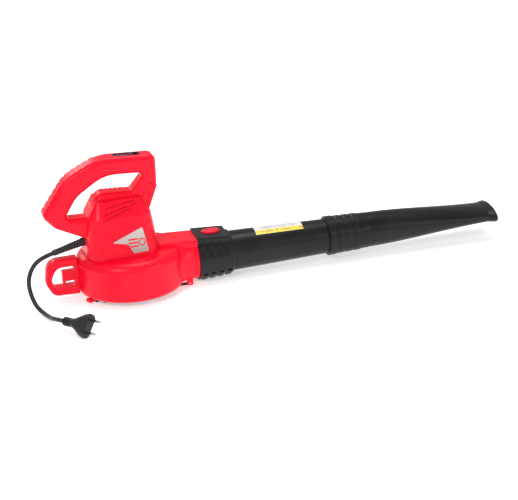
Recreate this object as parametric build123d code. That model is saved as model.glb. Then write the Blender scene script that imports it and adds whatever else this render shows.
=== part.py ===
from build123d import *
import os
from math import atan2, cos, degrees, pi, radians, sin, tan

# Corded leaf vacuum mulcher, set up as a blower. Millimetres. The origin is on the fan axis, at the
# floor. +X runs along the blow tube to its nozzle, +Y to the far side, +Z up.

# Plastic walls and the gaps between pieces
WALL = 2.8
GRIP_WALL = 2.6
PIECE_GAP = 0.3

# Fan casing: a round volute forward of the fan axis, a deck on top and a central outlet
CASING_X = 12.0
CASING_R = 80.0
CASING_BASE_Z = 7.0
DECK_Z = 67.0
CASING_TOP_ROUND = 14.0
CASING_BASE_ROUND = 9.0
COVER_OPENING_R = CASING_R - 10.0
DUCT_Z = 37.0
DUCT_R = 33.5
DUCT_RIM = 0.5
DUCT_END_X = 112.0
BRIDGE_HALF_W = 25.0
BRIDGE_REAR_Z = 74.0
BRIDGE_FRONT_Z = 70.8
DECK_HOLE_R = 9.0
SPIGOT_R = 31.6
SPIGOT_WALL = 2.6
SPIGOT_END_X = 158.0

# Rear cord retainer, a loop with a hook inside it, measured from the casing's rear
LOOP_HALF_W = 9.0
LOOP_ROUND = 3.0
LOOP_RIM = [(10, 66, 0), (-44, 65, 18), (-49, 30, 20), (-38, 9.5, 12), (10, 8, 0)]
LOOP_HOLE = [(-5, 53.5, 2), (-31, 53.5, 14), (-40, 36, 12), (-36, 22, 5), (-5, 22, 2)]
HOOK_TIP_X = -23.0
HOOK_Z = (30.0, 45.0)
HOOK_HALF_W = 6.0

# Bottom cover, its intake collar and feet
COVER_T = 2.8
INTAKE_R = 38.0
INTAKE_WALL = 3.0
INTAKE_LOW_Z = 4.4
INTAKE_TOP_Z = 11.5
FOOT_R = 4.0
FOOT_RING_R = 49.0
COVER_SCREW_RING_R = COVER_OPENING_R - 6.0

# Intake guard and its hinge
GUARD_R = 43.0
GUARD_RIM = 4.0
GUARD_LOW_Z = 0.0
GUARD_T = 3.0
GUARD_HUB_R = 6.0
HINGE_X = 96.5
HINGE_Z = 3.2
HINGE_PIN_R = 1.2
HINGE_GAP = 0.08
KNUCKLE_R = 2.3
ARM_Y = (15.0, 19.6)
EAR_Y = (20.0, 24.0)
LATCH_ANGLE = 207.0
GUARD_LIP_R = 46.5
LATCH_TRAVEL = 3.5
LATCH_TAB_R = 62.5

# Motor housing and handle. Heights are above the deck.
HOUSING_X = -0.5
HOUSING_HALF_L = 54.5
HOUSING_HALF_W = 45.0
HOUSING_CORNER = 26.0
HOUSING_LOWER_H = 60.0
HOUSING_LOWER_TAPER = 7.5
HOUSING_UPPER_H = 23.0
HOUSING_UPPER_TAPER = 30.0
GRIP_HALF_W = 16.0
GRIP_ROUND = 7.5
GRIP_RIM = [
    (61.5, 141.5, 10), (-22, 146, 70), (-73, 122, 60), (-112.5, 68.5, 9), (-95, 48.5, 14),
    (-58, 30, 30), (-40, 18, 5), (36, 18, 5), (44.5, 58, 9), (60.5, 96, 9),
]
GRIP_OPENING = [
    (44, 115.5, 5), (-16, 119, 60), (-59, 92, 45), (-80, 60.5, 5),
    (-46, 59, 4), (-36, 82, 20), (-26, 93, 10), (22, 90.5, 5),
]
RIB_CENTRE = (-20.0, 53.0)
RIB_ANGLES = range(97, 170, 7)
RIB_T = 6.6
RIB_RISE = 0.8
RIB_REACH = 76.0
HUMP_RIBS = (
    (-19, 92.5, 0), (-12, 92, 0), (-5, 91.7, 0), (2, 91.4, 0), (9, 91, 0), (-30.5, 88, -42), (-37.5, 79, -66),
)
HUMP_RIB_T = 2.6
STRUT_PAD = [(60, 97, 2), (45, 100.5, 2.5), (33, 72, 3), (42, 62, 3), (45.6, 62, 1.6)]
STRUT_PAD_RISE = 1.3
VENT_FIELD = [(-36, 52.5, 2), (8, 66.5, 3), (34, 59, 2), (33, 80, 2), (-24.5, 83, 2)]
VENT_SLOTS = ((0.0, 76.0, 8.0, 46.0), (0.0, 70.2, 12.0, 52.0), (-6.0, 63.6, 15.5, 44.0))
VENT_H = 2.6
VENT_SLIT_H = 0.9
VENT_DEPTH = 0.9
VENT_SLOT_DEPTH = 2.0
BADGE = [(-18, 25, 0.6), (28, 43, 1.5), (34.5, 6.5, 1.5), (12, 5.5, 1.5), (5, 20, 3)]
BADGE_T = 0.8
HOUSING_SCREWS = ((52.5, 128), (-48, 125), (-99, 62), (-27, 80), (46, 7), (-46, 6), (50, 82))

# Slide switch on top of the handle
SWITCH_X = 20.5
SWITCH_L = 40.0
SWITCH_HALF_W = 7.5
SLIDER_L = 27.0
SLIDER_HALF_W = 5.9
SLIDER_T = 2.4
SWITCH_TRAVEL = 6.0
TRAY_T = 1.6
TRAY_DEPTH = 5.2

# Motor, stacked upwards from the deck along the fan axis
SHAFT_R = 4.0
SHAFT_LOW_Z = 11.9
SHAFT_TOP_Z = 146.0
BEARING_T = 7.0
LOWER_BEARING_R = 11.0
UPPER_BEARING_R = 9.5
UPPER_BEARING_Z = 138.5
BEARING_GAP = 0.02
PLATE_R = 37.0
PLATE_T = 3.0
STATOR_R = 33.0
STATOR_Z = (88.0, 118.0)
ARMATURE_R = 20.0
AIR_GAP = 0.6
COMMUTATOR_R = 11.0
COMMUTATOR_Z = (124.0, 136.0)
MOTOR_FAN_R = 28.0
MOTOR_FAN_Z = (77.5, 83.0)

# Impeller and mulching blade
IMPELLER_R = 54.0
IMPELLER_LOW_Z = 21.5
IMPELLER_PLATE_Z = 47.0
IMPELLER_PLATE_T = 2.5
IMPELLER_HUB_R = 12.0
IMPELLER_BLADES = 8
BLADE_R = 33.0
BLADE_T = 2.0
WASHER_T = 0.8
NUT_T = 3.4

# Blow tube: a collar over the outlet spigot, then a tapering tube
COLLAR_REAR_X = DUCT_END_X + 0.4
COLLAR_FRONT_X = SPIGOT_END_X + 8.0
COLLAR_REAR_R = SPIGOT_R + 5.0
COLLAR_FRONT_R = SPIGOT_R + 1.8
COLLAR_HALF_FLAT = 25.0
TUBE_REAR_R = 30.6
TUBE_FRONT_R = 25.0
TUBE_END_X = 380.0
TUBE_WALL = 2.2
PAD_X = (120.5, 133.0, 145.5, 158.0)
PAD_ANGLES = (29.0, -57.0)
PAD_RISE = 1.6
LABEL_X = (205.0, 280.0)
LABEL_HALF_ANGLE = 34.0
LABEL_T = 0.25

# Nozzle, pushed over the tube and flattened to a wide mouth
NOZZLE_REAR_X = TUBE_END_X - 62.0
NOZZLE_SLEEVE_END_X = TUBE_END_X + 4.0
NOZZLE_SLEEVE_REAR_R = TUBE_FRONT_R + 4.0
NOZZLE_SLEEVE_FRONT_R = TUBE_FRONT_R + 2.4
NOZZLE_RINGS = ((7.0, 6.6, 1.6), (21.0, 5.4, 0.9), (34.3, 5.4, 0.9), (47.3, 5.2, 0.9))
NOZZLE_SECTIONS = ((4.0, 27.0, 27.0), (95.0, 29.5, 21.5), (165.0, 32.0, 14.6), (198.0, 33.2, 12.2))
NOZZLE_LIP = (210.0, 37.5, 13.4)
NOZZLE_WALL = 2.0

# Lock tongue with the release button, bending down from the outlet spigot
TONGUE_ROOT_X = DUCT_END_X + 1.0
TONGUE_END_X = SPIGOT_END_X - 4.0
TONGUE_HALF_W = 9.0
TONGUE_T = 2.0
TONGUE_TOP_Z = DUCT_Z + SPIGOT_R - 2.2
BUTTON_X = 137.5
BUTTON_L = 28.0
BUTTON_W = 18.0
BUTTON_RISE = 3.0

# Mains lead: a bend relief, the cord's route and a flat two-pin plug
CORD_R = 3.25
RELIEF_L = 48.0
RELIEF_ROOT_R = 6.2
RELIEF_TIP_R = 4.4
RELIEF_FLANGE_R = 8.6
RELIEF_INSIDE = 10.5
CORD_ROUTE = [
    (-101, 0, 74.5), (-119.9, 0, 69.8), (-135, -3.5, 57), (-142.5, -10.5, 40), (-141.5, -20.5, 22),
    (-136.5, -37, 8.5), (-127, -57.5, 3.6), (-122, -80, 6.3), (-118.5, -98.5, 11.9), (-108, -113.2, 13),
]
CLAMP_X = (-42.5, -37.0)
PLUG_LEAN = 42.0
PLUG_SECTIONS = (
    (0, 10.6, 10.6, 5.2), (15, 12, 11, 5.4), (23, 17, 12, 5.8), (36, 31, 13.6, 6.6), (49, 35, 14, 6.8),
)
PLUG_RIBS = (2.4, 6.0, 9.6, 13.2)
PIN_R = 2.0
PIN_PITCH = 19.0
PIN_L = 19.0
PIN_SLEEVE_L = 10.0

BASE = (Align.CENTER, Align.CENTER, Align.MIN)


# ---------------------------------------------------------------- shapes

def rod(radius, start, end):
    """A round bar from one point to another."""
    run = Vector(*end) - Vector(*start)
    return Plane(origin=start, z_dir=run) * Cylinder(radius, run.length, align=BASE)


def pipe(radius, wall, start, end):
    """A round tube given by its outer radius and wall."""
    return rod(radius, start, end) - rod(radius - wall, start, end)


def taper(start_r, end_r, start, end):
    """A straight cone between two points."""
    run = Vector(*end) - Vector(*start)
    return Plane(origin=start, z_dir=run) * Cone(start_r, end_r, run.length, align=BASE)


def box(low, high):
    """A block between two opposite corners."""
    size = [b - a for a, b in zip(low, high)]
    middle = [(a + b) / 2 for a, b in zip(low, high)]
    return Pos(*middle) * Box(*size)


def flat_outline(points, lift=0.0):
    """A flat face whose corners (x, height, radius) are rounded."""
    corners = [(x, z + lift) for x, z, _ in points]
    return make_face(FilletPolyline(*corners, radius=[r for *_, r in points], close=True))


def slab(points, half_width, lift=0.0):
    """An outline in the XZ plane, thickened evenly to both sides."""
    return extrude(Plane.XZ * flat_outline(points, lift), amount=half_width, both=True)


def along_x(points):
    """A solid of revolution about the tube's axis, from (x, radius) points."""
    face = make_face(Polyline(*[(x, r) for x, r in points], close=True))
    return Pos(0, 0, DUCT_Z) * revolve(Plane.XZ * face, axis=Axis.X, revolution_arc=360)


def sections_along_x(sections, inset=0.0):
    """A loft through rounded rectangles (x, half width, low z, high z, corner radius)."""
    faces = []
    for x, half, low, high, corner in sections:
        outline = RectangleRounded(2 * (half - inset), high - low - 2 * inset, corner - inset)
        faces.append(Plane(origin=(x, 0, (low + high) / 2), x_dir=(0, 1, 0), z_dir=(1, 0, 0)) * outline)
    return loft(faces)


def save(name, shape):
    """Write one node's STEP file."""
    export_step(shape, f"parts/{name}.step")


# ---------------------------------------------------------------- housing and handle

def housing_block(inset=0.0):
    """The motor housing's block, tapering in two stages."""
    base = RectangleRounded(
        2 * (HOUSING_HALF_L - inset), 2 * (HOUSING_HALF_W - inset), HOUSING_CORNER - inset
    )
    lower = extrude(Pos(HOUSING_X, 0, DECK_Z) * base, HOUSING_LOWER_H, taper=HOUSING_LOWER_TAPER)
    shoulder = lower.faces().sort_by(Axis.Z)[-1]
    upper = extrude(shoulder, HOUSING_UPPER_H - inset, taper=HOUSING_UPPER_TAPER)
    return lower + upper


def grip_half(inset=0.0):
    """The near half of the handle's ring, inset from its outside, with a rounded edge."""
    rim = flat_outline(GRIP_RIM, DECK_Z)
    opening = flat_outline(GRIP_OPENING, DECK_Z)
    face = rim - opening
    if inset:
        face = offset(rim, amount=-inset) - offset(opening, amount=inset)
    block = extrude(Plane.XZ * face, GRIP_HALF_W - inset)
    side = block.faces().sort_by(Axis.Y)[0]
    return fillet(side.edges(), GRIP_ROUND - inset)


def ridge_skin(rise_out, rise_in):
    """The near half of the handle's ring, grown a little all round."""
    rim = offset(flat_outline(GRIP_RIM, DECK_Z), amount=rise_out)
    face = rim - offset(flat_outline(GRIP_OPENING, DECK_Z), amount=-rise_in)
    block = extrude(Plane.XZ * face, GRIP_HALF_W + RIB_RISE / 2)
    return fillet(block.faces().sort_by(Axis.Y)[0].edges(), GRIP_ROUND)


def grip_ribs():
    """Broad pads across the outside of the handle's rear bend, and ridges over the hump below the hand."""
    pads = []
    for angle in RIB_ANGLES:
        spoke = Box(60, 80, RIB_T, align=(Align.MIN, Align.CENTER, Align.CENTER))
        place = Pos(RIB_CENTRE[0], 0, DECK_Z + RIB_CENTRE[1]) * Rot(0, -angle, 0) * Pos(RIB_REACH, 0, 0)
        pads.append(place * spoke)
    ridges = []
    for x, height, lean in HUMP_RIBS:
        ridge = Box(HUMP_RIB_T, 80, 14)
        ridges.append(Pos(x, 0, DECK_Z + height - 3) * Rot(0, lean, 0) * ridge)
    return (ridge_skin(RIB_RISE, 0.0) & Compound(pads)) + (ridge_skin(0.0, RIB_RISE) & Compound(ridges))


def strut_pad():
    """The raised pad on the near side of the handle's front strut."""
    pad = extrude(Plane.XZ * flat_outline(STRUT_PAD, DECK_Z), GRIP_HALF_W + STRUT_PAD_RISE)
    return fillet(pad.faces().sort_by(Axis.Y)[0].edges(), 0.9)


def relief_frame():
    """The bend relief's root, and the direction in which it leaves the housing."""
    tip = Vector(*CORD_ROUTE[0])
    out = (Vector(*CORD_ROUTE[1]) - tip).normalized()
    return tip - out * RELIEF_L, out


def switch_plane():
    """The plane of the handle's top face, at the switch, with x running forwards."""
    front, rear = GRIP_RIM[0], GRIP_RIM[1]
    slope = (front[1] - rear[1]) / (front[0] - rear[0])
    height = DECK_Z + rear[1] + slope * (SWITCH_X - rear[0])
    return Plane(origin=(SWITCH_X, 0, height), x_dir=(1, 0, slope), z_dir=(-slope, 0, 1))


def vent_cuts():
    """The shallow field on each side of the housing, and the slots through it."""
    block = housing_block()
    field = slab(VENT_FIELD, HOUSING_HALF_W + 5, DECK_Z) & (block - housing_block(VENT_DEPTH))
    slots, slits = [], []
    for x, z, tilt, length in VENT_SLOTS:
        place = Pos(x, 0, DECK_Z + z) * Rot(0, -tilt, 0)
        slots.append(place * Box(length, 4 * HOUSING_HALF_W, VENT_H))
        slit = Box(length - 4, 4 * HOUSING_HALF_W, VENT_SLIT_H)
        slits.append(place * Pos(0, 0, (VENT_H - VENT_SLIT_H) / 2) * slit)
    keep_grip = box((-60, -GRIP_HALF_W, DECK_Z), (60, GRIP_HALF_W, DECK_Z + 200))
    shallow = Compound(slots) & (block - housing_block(VENT_SLOT_DEPTH))
    return field + shallow + (Compound(slits) - keep_grip)


def housing_near():
    """The near half shell: housing, handle and its ribs, hollow and open at the bottom."""
    near_side = box((-200, -100, DECK_Z), (200, 0, 300))
    body = (housing_block() & near_side) + grip_half()
    cavity = (housing_block(WALL) & near_side) + grip_half(GRIP_WALL)
    shell = body + (grip_ribs() - cavity) + (strut_pad() - cavity) - cavity
    shell -= vent_cuts()
    window = switch_plane() * Box(SWITCH_L, 2 * SWITCH_HALF_W, 8)
    root, out = relief_frame()
    inlet = rod(RELIEF_ROOT_R + PIECE_GAP, root - out * 8, root + out * 12)
    return shell - window - inlet


def screw_bosses(x, z, half_width):
    """A near boss with a blind hole, a far boss with a through hole and its screw's seat."""
    near = rod(4.2, (x, -half_width, z), (x, 0, z)) - rod(1.7, (x, -9, z), (x, 0, z))
    far = rod(4.2, (x, 0, z), (x, half_width, z)) - rod(1.9, (x, 0, z), (x, half_width, z))
    seat = rod(3.5, (x, 9, z), (x, 80, z))
    return near, far, seat


def build_housing():
    """Both half shells and their screws."""
    near = housing_near()
    far = mirror(near, about=Plane.XZ)
    outer = grip_half() + housing_block()
    outer += mirror(grip_half(), about=Plane.XZ)
    screws = []
    for x, dz in HOUSING_SCREWS:
        z = DECK_Z + dz
        reach = GRIP_HALF_W if dz > 24 else HOUSING_HALF_W
        near_boss, far_boss, seat = screw_bosses(x, z, reach)
        near += near_boss & outer
        far = far + ((far_boss + rod(4.8, (x, 5, z), (x, reach, z))) & outer)
        far -= seat + rod(1.9, (x, -1, z), (x, 20, z))
        screws.append(rod(1.55, (x, -8, z), (x, 9, z)) + rod(3.1, (x, 9, z), (x, 11.4, z)))
    save("right_housing_shell", near)
    save("left_housing_shell", far)
    save("housing_screws", Compound(screws))


def build_badge():
    """A thin plate lying on the near side of the housing, which leans back by the lower taper."""
    lean = radians(HOUSING_LOWER_TAPER)
    side = Plane(origin=(0, -HOUSING_HALF_W, DECK_Z), x_dir=(1, 0, 0), z_dir=(0, -cos(lean), sin(lean)))
    save("badge_plate", extrude(side * flat_outline(BADGE), BADGE_T))


# ---------------------------------------------------------------- switch

def build_switch():
    """The slider, the tray it runs in and the switch body below."""
    top = switch_plane()
    tray = Box(SWITCH_L - 0.4, 2 * SWITCH_HALF_W - 0.4, TRAY_DEPTH, align=(Align.CENTER, Align.CENTER, Align.MAX))
    pocket = Box(SLIDER_L + SWITCH_TRAVEL + 2.4, 2 * SLIDER_HALF_W + 0.6, 20)
    slot = Box(20, 5, 30)
    tray = tray - Pos(0, 0, 10 - TRAY_DEPTH + TRAY_T) * pocket - slot
    save("switch_tray", top * Pos(0, 0, -0.3) * tray)

    rest_x = -SWITCH_TRAVEL / 2
    floor = -0.3 - TRAY_DEPTH + TRAY_T + 0.15
    plate = Box(SLIDER_L, 2 * SLIDER_HALF_W, SLIDER_T, align=BASE)
    plate = fillet(plate.edges().filter_by(Axis.Z), 1.2)
    knob = Pos(SLIDER_L / 2 - 5, 0, SLIDER_T) * Box(7, 2 * SLIDER_HALF_W - 1, 2.6, align=BASE)
    ridges = [Pos(x, 0, SLIDER_T) * Box(1.4, 2 * SLIDER_HALF_W - 2, 0.7, align=BASE) for x in range(-10, 5, 3)]
    stem = Pos(0, 0, -3.2) * Box(8, 3.6, 3.2, align=BASE)
    slider = plate + knob + stem
    for ridge in ridges:
        slider += ridge
    save("power_slider", top * Pos(rest_x, 0, floor) * slider)

    body = Box(30, 11, 13, align=(Align.CENTER, Align.CENTER, Align.MAX))
    save("power_switch", top * Pos(0, 0, -0.3 - TRAY_DEPTH - 2.4) * body)


# ---------------------------------------------------------------- fan casing

def duct(inset=0.0):
    """The outlet's blend from the round volute to the round duct."""
    low, high = DUCT_Z - DUCT_R, DUCT_Z + DUCT_R
    sections = [
        (58, 61, CASING_BASE_Z + 0.6, DECK_Z - 0.6, 20),
        (74, 47, CASING_BASE_Z - 1, DECK_Z + 0.6, 26),
        (90, 37, low + 0.6, high - 0.6, 31),
        (DUCT_END_X - 6, DUCT_R, low, high, DUCT_R - 0.1),
    ]
    blend = sections_along_x(sections, inset)
    rim = DUCT_R + DUCT_RIM - inset
    return blend + along_x([(DUCT_END_X - 6, 0), (DUCT_END_X - 6, rim), (DUCT_END_X, rim), (DUCT_END_X, 0)])


def bridge(inset=0.0):
    """The flat-topped block along the top of the outlet."""
    points = [
        (48, 50, 0), (DUCT_END_X, 50, 0), (DUCT_END_X, BRIDGE_FRONT_Z - inset, 0),
        (48, BRIDGE_REAR_Z - inset, 0),
    ]
    block = slab(points, BRIDGE_HALF_W - inset)
    edges = [e for e in block.edges().filter_by(GeomType.LINE) if e.center().Z > 65 and abs(e.center().Y) > 5]
    return fillet(edges, 3.4 - inset / 2)


def volute(inset=0.0):
    """The round volute with its two rounded edges."""
    low, high = CASING_BASE_Z + inset, DECK_Z - inset
    drum = Pos(CASING_X, 0, low) * Cylinder(CASING_R - inset, high - low, align=BASE)
    drum = fillet(drum.edges().sort_by(Axis.Z)[-1], CASING_TOP_ROUND - inset)
    return fillet(drum.edges().sort_by(Axis.Z)[0], CASING_BASE_ROUND - inset)


def retainer():
    """The loop at the rear that holds an extension lead, with its hook."""
    loop = slab(LOOP_RIM, LOOP_HALF_W)
    sides = loop.faces().filter_by(Axis.Y)
    loop = fillet(sides.edges(), LOOP_ROUND) - slab(LOOP_HOLE, LOOP_HALF_W + 1)
    hook = box((HOOK_TIP_X, -HOOK_HALF_W, HOOK_Z[0]), (8, HOOK_HALF_W, HOOK_Z[1]))
    lip = box((HOOK_TIP_X, -HOOK_HALF_W, HOOK_Z[0] - 4.5), (HOOK_TIP_X + 4, HOOK_HALF_W, HOOK_Z[1]))
    hook = fillet((hook + lip).edges().filter_by(Axis.Y), 1.2)
    return Pos(CASING_X - CASING_R, 0, 0) * (loop + hook)


def cover_screw_places():
    """Where the cover's screws stand, on a ring about the volute's centre."""
    angles = (35, 95, 160, 240, 285, 325)
    ring = COVER_SCREW_RING_R
    return [(CASING_X + ring * cos(radians(a)), ring * sin(radians(a))) for a in angles]


def build_casing():
    """The fan casing with its outlet, screw posts and hinge ears, and the cord loop at its rear."""
    outer = volute() + duct() + bridge()
    inner = volute(WALL) + duct(WALL) + bridge(WALL)
    inner &= box((-90, -90, 0), (DUCT_END_X + 1, 90, DECK_Z - WALL)) + box(
        (HOUSING_HALF_L + 2, -90, 0), (DUCT_END_X + 1, 90, 90))
    casing = outer - inner - (housing_block(-PIECE_GAP) & box((-99, -99, DECK_Z), (99, 99, 99)))
    casing -= Pos(CASING_X, 0, 0) * Cylinder(COVER_OPENING_R, CASING_BASE_Z + WALL, align=BASE)
    for x, y in cover_screw_places():
        turn = Pos(CASING_X, 0, 0) * Rot(0, 0, degrees(atan2(y, x - CASING_X)))
        link = turn * box((COVER_SCREW_RING_R, -1.2, 12), (CASING_R - 1, 1.2, 16))
        casing += rod(4.0, (x, y, CASING_BASE_Z + COVER_T), (x, y, 16)) + link
        casing -= rod(1.6, (x, y, 0), (x, y, 15))
    for side in (-1, 1):
        y0, y1 = sorted((side * EAR_Y[0], side * EAR_Y[1]))
        ear = box((HINGE_X - 4.5, y0, HINGE_Z - 2.8), (HINGE_X + 4.5, y1, 20)) - duct(WALL)
        casing += fillet(ear.edges().filter_by(Axis.Y).sort_by(Axis.Z)[:2], 2.4)
        casing -= rod(HINGE_PIN_R, (HINGE_X, side * 19, HINGE_Z), (HINGE_X, side * 25, HINGE_Z))
    casing -= rod(DECK_HOLE_R, (0, 0, DECK_Z - 10), (0, 0, DECK_Z + 1))
    for x, y in plate_screw_places():
        casing += rod(4.0, (x, y, DECK_Z - 12), (x, y, DECK_Z - 0.5))
        casing -= rod(1.6, (x, y, DECK_Z - 10), (x, y, DECK_Z + 1))
    save("fan_casing", casing)
    save("cord_loop", retainer() - volute() - rod(CASING_R, (CASING_X, 0, 0), (CASING_X, 0, DECK_Z)))


def build_spigot():
    """The spigot pressed into the outlet, with the slot that the release tongue bends in."""
    bore_r = SPIGOT_R - SPIGOT_WALL
    neck_r = DUCT_R + DUCT_RIM - WALL
    spigot = pipe(neck_r, neck_r - bore_r, (DUCT_END_X - 5.5, 0, DUCT_Z), (DUCT_END_X, 0, DUCT_Z))
    spigot += pipe(SPIGOT_R, SPIGOT_WALL, (DUCT_END_X, 0, DUCT_Z), (SPIGOT_END_X, 0, DUCT_Z))
    slot = box((TONGUE_ROOT_X - PIECE_GAP, -TONGUE_HALF_W - 1, DUCT_Z), (TONGUE_END_X + 1, TONGUE_HALF_W + 1, 90))
    save("outlet_spigot", spigot - slot)


def build_cover():
    """The bottom cover with the intake collar, feet and latch rails, and its screws."""
    low, high = CASING_BASE_Z, CASING_BASE_Z + COVER_T
    cover = Pos(CASING_X, 0, low) * Cylinder(COVER_OPENING_R - PIECE_GAP, COVER_T, align=BASE)
    cover += rod(INTAKE_R + INTAKE_WALL, (0, 0, INTAKE_LOW_Z), (0, 0, INTAKE_TOP_Z))
    for angle in (45, 135, 225, 315):
        x, y = FOOT_RING_R * cos(radians(angle)), FOOT_RING_R * sin(radians(angle))
        cover += rod(FOOT_R, (x, y, 0), (x, y, high))
    turn = Rot(0, 0, LATCH_ANGLE)
    for side in (-1, 1):
        cover += turn * (Pos(53.6, side * 6.1, 3.6) * Box(8, 2.0, 7.0))
        cover += turn * (Pos(53.6, side * 5.1, 0.9) * Box(8, 4.0, 1.6))
    cover -= rod(INTAKE_R, (0, 0, 0), (0, 0, 20))
    screws = []
    for x, y in cover_screw_places():
        cover -= rod(1.8, (x, y, 0), (x, y, 20))
        screws.append(rod(1.45, (x, y, low), (x, y, 14.5)) + rod(3.2, (x, y, low - 1.8), (x, y, low)))
    save("bottom_cover", cover)
    save("cover_screws", Compound(screws))


def build_guard():
    """The intake guard: rim, rings and spokes, two arms to the hinge, and the lip the latch holds."""
    low, high = GUARD_LOW_Z, GUARD_LOW_Z + GUARD_T
    guard = pipe(GUARD_R, GUARD_RIM, (0, 0, low), (0, 0, high)) + rod(GUARD_HUB_R, (0, 0, low), (0, 0, high))
    for ring in (12.0, 22.0, 32.0):
        guard += pipe(ring, 2.4, (0, 0, low), (0, 0, high))
    for angle in range(0, 180, 30):
        guard += Rot(0, 0, angle) * box((-GUARD_R + 1, -1.1, low), (GUARD_R - 1, 1.1, high))
    for side in (-1, 1):
        y0, y1 = sorted((side * ARM_Y[0], side * ARM_Y[1]))
        guard += box((GUARD_R - 8, y0, low), (HINGE_X, y1, high - 0.4))
        guard += rod(KNUCKLE_R, (HINGE_X, y0, HINGE_Z), (HINGE_X, y1, HINGE_Z))
        guard -= rod(HINGE_PIN_R + HINGE_GAP, (HINGE_X, y0 - 1, HINGE_Z), (HINGE_X, y1 + 1, HINGE_Z))
    guard += Rot(0, 0, LATCH_ANGLE) * box((GUARD_R - 2, -4, 2.9), (GUARD_LIP_R, 4, high))
    save("intake_guard", guard)
    pins = [rod(HINGE_PIN_R, (HINGE_X, s * (ARM_Y[0] + 0.4), HINGE_Z), (HINGE_X, s * EAR_Y[1], HINGE_Z))
            for s in (-1, 1)]
    save("hinge_pins", Compound(pins))
    nose_r = GUARD_LIP_R + 0.7
    body_r = GUARD_LIP_R + LATCH_TRAVEL + 0.6
    latch = box((nose_r, -2.6, 1.2), (body_r + 1, 2.6, 2.5))
    latch += box((body_r, -4.8, 2.0), (LATCH_TAB_R, 4.8, 5.6))
    latch += box((LATCH_TAB_R, -4.8, 1.6), (LATCH_TAB_R + 5, 4.8, 6.4))
    save("guard_latch", Rot(0, 0, LATCH_ANGLE) * latch)


# ---------------------------------------------------------------- motor and fan

def plate_screw_places():
    """Where the motor plate's screws stand."""
    return [(sx * 23.0, sy * 23.0) for sx in (-1, 1) for sy in (-1, 1)]


def bearing(radius, low):
    """A shielded ball bearing on the shaft: inner ring, outer ring and the shield between."""
    inner = pipe(SHAFT_R + 2.2, 2.2 - BEARING_GAP, (0, 0, low), (0, 0, low + BEARING_T))
    outer = pipe(radius, 2.0, (0, 0, low), (0, 0, low + BEARING_T))
    shield = pipe(radius - 1, radius - SHAFT_R - 2.5, (0, 0, low + 0.8), (0, 0, low + BEARING_T - 0.8))
    return inner + outer + shield


def build_motor_frame():
    """The plate on the deck, both bearings, the rubber boot and the laminated stator."""
    cup_r = LOWER_BEARING_R + 2.4
    plate = rod(PLATE_R, (0, 0, DECK_Z), (0, 0, DECK_Z + PLATE_T))
    plate += rod(cup_r, (0, 0, DECK_Z), (0, 0, DECK_Z + 9))
    plate -= rod(LOWER_BEARING_R, (0, 0, DECK_Z + 1), (0, 0, DECK_Z + 10))
    plate -= rod(DECK_HOLE_R, (0, 0, DECK_Z - 1), (0, 0, DECK_Z + 2))
    for x in (4 - PLATE_R, PLATE_R - 4):
        plate += rod(3.4, (x, 0, DECK_Z), (x, 0, STATOR_Z[0]))
    for x, y in plate_screw_places():
        plate -= rod(1.9, (x, y, DECK_Z - 1), (x, y, DECK_Z + 5))
    save("motor_plate", plate)
    screws = [rod(1.45, (x, y, DECK_Z - 8), (x, y, DECK_Z + PLATE_T))
              + rod(3.2, (x, y, DECK_Z + PLATE_T), (x, y, DECK_Z + PLATE_T + 1.8))
              for x, y in plate_screw_places()]
    save("motor_plate_screws", Compound(screws))
    save("lower_bearing", bearing(LOWER_BEARING_R, DECK_Z + 1))
    save("upper_bearing", bearing(UPPER_BEARING_R, UPPER_BEARING_Z))
    boot = rod(UPPER_BEARING_R + 2.6, (0, 0, UPPER_BEARING_Z + 0.6), (0, 0, UPPER_BEARING_Z + BEARING_T + 3))
    boot -= rod(UPPER_BEARING_R, (0, 0, UPPER_BEARING_Z), (0, 0, UPPER_BEARING_Z + BEARING_T))
    boot -= rod(SHAFT_R + 1, (0, 0, UPPER_BEARING_Z), (0, 0, UPPER_BEARING_Z + BEARING_T + 1.5))
    save("bearing_boot", boot)


def build_stator():
    """Two-pole laminations and the field coils over their ends."""
    low, high = STATOR_Z
    core = rod(STATOR_R, (0, 0, low), (0, 0, high)) - rod(STATOR_R - 6, (0, 0, low), (0, 0, high))
    pole = rod(STATOR_R - 3, (0, 0, low), (0, 0, high)) & (
        box((-40, 8, low), (40, 40, high)) + box((-40, -40, low), (40, -8, high)))
    core += pole
    core -= rod(ARMATURE_R + AIR_GAP, (0, 0, low - 1), (0, 0, high + 1))
    save("stator_core", core)
    coils = []
    for z0, z1 in ((low - 4.5, low), (high, high + 4.5)):
        ring = pipe(STATOR_R - 3.8, 7.2, (0, 0, z0), (0, 0, z1))
        coils.append(ring - box((-5, -50, 0), (5, 50, 200)))
    save("field_coils", Compound(coils))


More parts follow.
